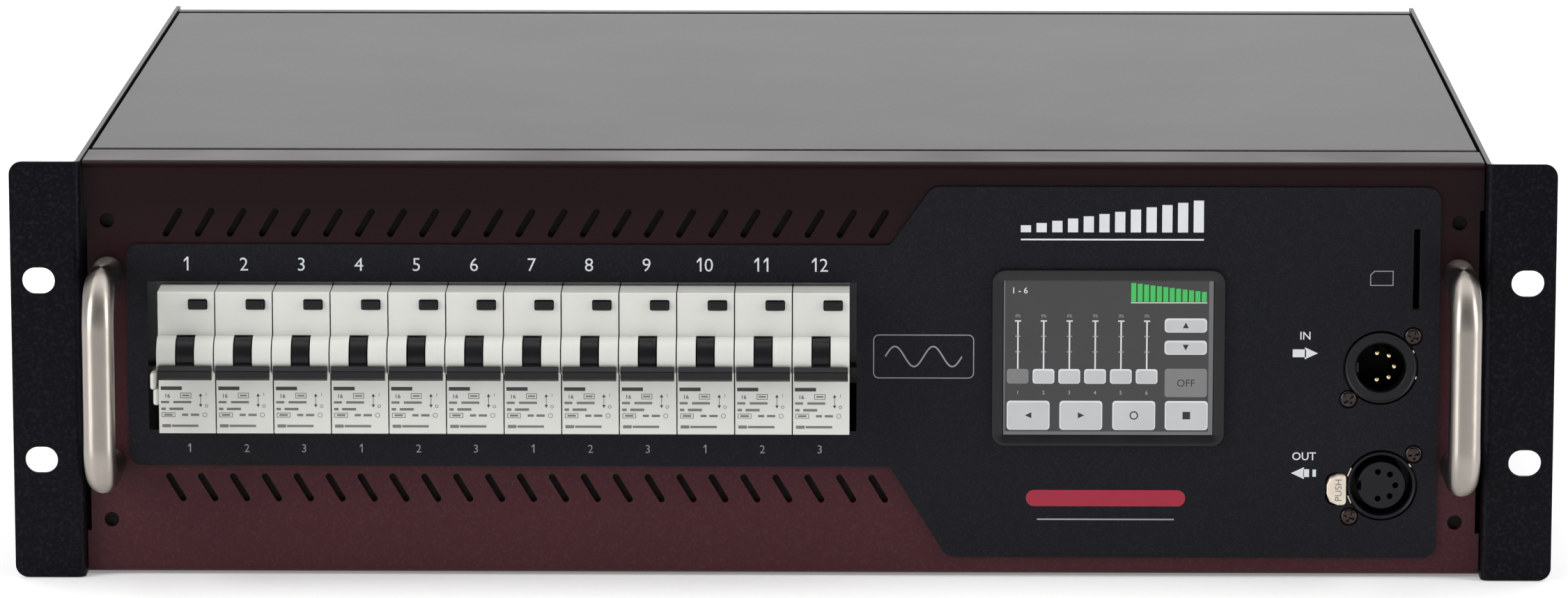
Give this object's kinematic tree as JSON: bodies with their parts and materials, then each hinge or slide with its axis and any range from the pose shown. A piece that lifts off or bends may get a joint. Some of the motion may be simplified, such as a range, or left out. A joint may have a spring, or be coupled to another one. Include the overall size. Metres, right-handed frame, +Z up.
{
  "type": "rack dimmer pack",
  "caption": "Rack mounted stage lighting dimmer pack with a row of pivoting breakers, a touch screen, round handles, control connectors, a fan and a multipole output.",
  "frame": {"origin": "centre of the bounding box in plan, at the underside of the base", "axes": "+X to the right seen from the front, +Y from the front to the back, +Z up"},
  "size_m": [0.4826, 0.4072, 0.1325],
  "materials": {
    "textured_black": "fine textured powder coat",
    "maroon_paint": "satin powder coat, dark maroon",
    "overlay_black": "matt printed polyester skin",
    "bezel_black": "matt moulded frame",
    "zinc_steel": "zinc plated sheet",
    "satin_steel": "satin round bar",
    "housing_white": "off white moulded housing",
    "toggle_black": "dark moulded toggle and button",
    "screen_glass": "screen face and module",
    "black_nickel": "dark plated die casting",
    "contact_insert": "dark insulator",
    "latch_metal": "bright latch tab",
    "circuit_board": "green board",
    "aluminium": "extruded, plain",
    "fan_plastic": "dark moulded fan",
    "choke_windings": "enamelled windings on a plain tray",
    "gland_grey": "grey nylon gland",
    "connector_grey": "grey die cast hood base"
  },
  "bodies": {
    "chassis": {"front_panel": "maroon_paint", "fascia_overlay": "overlay_black", "side_panel_left": "textured_black", "side_panel_right": "textured_black", "handle_left": "satin_steel", "handle_right": "satin_steel", "top_cover": "textured_black", "base_plate": "zinc_steel", "rear_panel": "textured_black", "breaker_body_01": "housing_white", "breaker_body_02": "housing_white", "breaker_body_03": "housing_white", "breaker_body_04": "housing_white", "breaker_body_05": "housing_white", "breaker_body_06": "housing_white", "breaker_body_07": "housing_white", "breaker_body_08": "housing_white", "breaker_body_09": "housing_white", "breaker_body_10": "housing_white", "breaker_body_11": "housing_white", "breaker_body_12": "housing_white", "din_rail": "zinc_steel", "screen_bezel": "bezel_black", "touch_screen": "screen_glass", "xlr_input_shell": "black_nickel", "xlr_input_insert": "contact_insert", "xlr_output_shell": "black_nickel", "xlr_output_insert": "contact_insert", "control_board": "circuit_board", "heatsink": "aluminium", "fan_frame": "fan_plastic", "choke_tray": "choke_windings", "mains_gland": "gland_grey", "output_connector": "connector_grey"},
    "toggle_01": {"breaker_toggle_01": "toggle_black"},
    "toggle_02": {"breaker_toggle_02": "toggle_black"},
    "toggle_03": {"breaker_toggle_03": "toggle_black"},
    "toggle_04": {"breaker_toggle_04": "toggle_black"},
    "toggle_05": {"breaker_toggle_05": "toggle_black"},
    "toggle_06": {"breaker_toggle_06": "toggle_black"},
    "toggle_07": {"breaker_toggle_07": "toggle_black"},
    "toggle_08": {"breaker_toggle_08": "toggle_black"},
    "toggle_09": {"breaker_toggle_09": "toggle_black"},
    "toggle_10": {"breaker_toggle_10": "toggle_black"},
    "toggle_11": {"breaker_toggle_11": "toggle_black"},
    "toggle_12": {"breaker_toggle_12": "toggle_black"},
    "button_01": {"test_button_01": "toggle_black"},
    "button_02": {"test_button_02": "toggle_black"},
    "button_03": {"test_button_03": "toggle_black"},
    "button_04": {"test_button_04": "toggle_black"},
    "button_05": {"test_button_05": "toggle_black"},
    "button_06": {"test_button_06": "toggle_black"},
    "button_07": {"test_button_07": "toggle_black"},
    "button_08": {"test_button_08": "toggle_black"},
    "button_09": {"test_button_09": "toggle_black"},
    "button_10": {"test_button_10": "toggle_black"},
    "button_11": {"test_button_11": "toggle_black"},
    "button_12": {"test_button_12": "toggle_black"},
    "latch_tab": {"xlr_latch_tab": "latch_metal"},
    "impeller": {"fan_impeller": "fan_plastic"}
  },
  "joints": [
    {"name": "breaker_toggle_01_hinge", "type": "hinge", "parent": "chassis", "child": "toggle_01", "pos_m": [-0.1858, -0.17965, 0.0731], "axis": [-1, 0, 0], "range_deg": [0, 76]},
    {"name": "breaker_toggle_02_hinge", "type": "hinge", "parent": "chassis", "child": "toggle_02", "pos_m": [-0.1678, -0.17965, 0.0731], "axis": [-1, 0, 0], "range_deg": [0, 76]},
    {"name": "breaker_toggle_03_hinge", "type": "hinge", "parent": "chassis", "child": "toggle_03", "pos_m": [-0.1498, -0.17965, 0.0731], "axis": [-1, 0, 0], "range_deg": [0, 76]},
    {"name": "breaker_toggle_04_hinge", "type": "hinge", "parent": "chassis", "child": "toggle_04", "pos_m": [-0.1318, -0.17965, 0.0731], "axis": [-1, 0, 0], "range_deg": [0, 76]},
    {"name": "breaker_toggle_05_hinge", "type": "hinge", "parent": "chassis", "child": "toggle_05", "pos_m": [-0.1138, -0.17965, 0.0731], "axis": [-1, 0, 0], "range_deg": [0, 76]},
    {"name": "breaker_toggle_06_hinge", "type": "hinge", "parent": "chassis", "child": "toggle_06", "pos_m": [-0.0958, -0.17965, 0.0731], "axis": [-1, 0, 0], "range_deg": [0, 76]},
    {"name": "breaker_toggle_07_hinge", "type": "hinge", "parent": "chassis", "child": "toggle_07", "pos_m": [-0.0778, -0.17965, 0.0731], "axis": [-1, 0, 0], "range_deg": [0, 76]},
    {"name": "breaker_toggle_08_hinge", "type": "hinge", "parent": "chassis", "child": "toggle_08", "pos_m": [-0.0598, -0.17965, 0.0731], "axis": [-1, 0, 0], "range_deg": [0, 76]},
    {"name": "breaker_toggle_09_hinge", "type": "hinge", "parent": "chassis", "child": "toggle_09", "pos_m": [-0.0418, -0.17965, 0.0731], "axis": [-1, 0, 0], "range_deg": [0, 76]},
    {"name": "breaker_toggle_10_hinge", "type": "hinge", "parent": "chassis", "child": "toggle_10", "pos_m": [-0.0238, -0.17965, 0.0731], "axis": [-1, 0, 0], "range_deg": [0, 76]},
    {"name": "breaker_toggle_11_hinge", "type": "hinge", "parent": "chassis", "child": "toggle_11", "pos_m": [-0.0058, -0.17965, 0.0731], "axis": [-1, 0, 0], "range_deg": [0, 76]},
    {"name": "breaker_toggle_12_hinge", "type": "hinge", "parent": "chassis", "child": "toggle_12", "pos_m": [0.0122, -0.17965, 0.0731], "axis": [-1, 0, 0], "range_deg": [0, 76]},
    {"name": "test_button_01_slide", "type": "slide", "parent": "chassis", "child": "button_01", "axis": [0, 1, 0], "range_m": [0, 0.0015], "stiffness_N_per_m": 300},
    {"name": "test_button_02_slide", "type": "slide", "parent": "chassis", "child": "button_02", "axis": [0, 1, 0], "range_m": [0, 0.0015], "stiffness_N_per_m": 300},
    {"name": "test_button_03_slide", "type": "slide", "parent": "chassis", "child": "button_03", "axis": [0, 1, 0], "range_m": [0, 0.0015], "stiffness_N_per_m": 300},
    {"name": "test_button_04_slide", "type": "slide", "parent": "chassis", "child": "button_04", "axis": [0, 1, 0], "range_m": [0, 0.0015], "stiffness_N_per_m": 300},
    {"name": "test_button_05_slide", "type": "slide", "parent": "chassis", "child": "button_05", "axis": [0, 1, 0], "range_m": [0, 0.0015], "stiffness_N_per_m": 300},
    {"name": "test_button_06_slide", "type": "slide", "parent": "chassis", "child": "button_06", "axis": [0, 1, 0], "range_m": [0, 0.0015], "stiffness_N_per_m": 300},
    {"name": "test_button_07_slide", "type": "slide", "parent": "chassis", "child": "button_07", "axis": [0, 1, 0], "range_m": [0, 0.0015], "stiffness_N_per_m": 300},
    {"name": "test_button_08_slide", "type": "slide", "parent": "chassis", "child": "button_08", "axis": [0, 1, 0], "range_m": [0, 0.0015], "stiffness_N_per_m": 300},
    {"name": "test_button_09_slide", "type": "slide", "parent": "chassis", "child": "button_09", "axis": [0, 1, 0], "range_m": [0, 0.0015], "stiffness_N_per_m": 300},
    {"name": "test_button_10_slide", "type": "slide", "parent": "chassis", "child": "button_10", "axis": [0, 1, 0], "range_m": [0, 0.0015], "stiffness_N_per_m": 300},
    {"name": "test_button_11_slide", "type": "slide", "parent": "chassis", "child": "button_11", "axis": [0, 1, 0], "range_m": [0, 0.0015], "stiffness_N_per_m": 300},
    {"name": "test_button_12_slide", "type": "slide", "parent": "chassis", "child": "button_12", "axis": [0, 1, 0], "range_m": [0, 0.0015], "stiffness_N_per_m": 300},
    {"name": "xlr_latch_slide", "type": "slide", "parent": "chassis", "child": "latch_tab", "axis": [0, 1, 0], "range_m": [0, 0.0015], "stiffness_N_per_m": 600},
    {"name": "fan_spin", "type": "hinge", "parent": "chassis", "child": "impeller", "pos_m": [0.127, 0.15915, 0.06625], "axis": [0, 1, 0], "continuous": true}
  ]
}
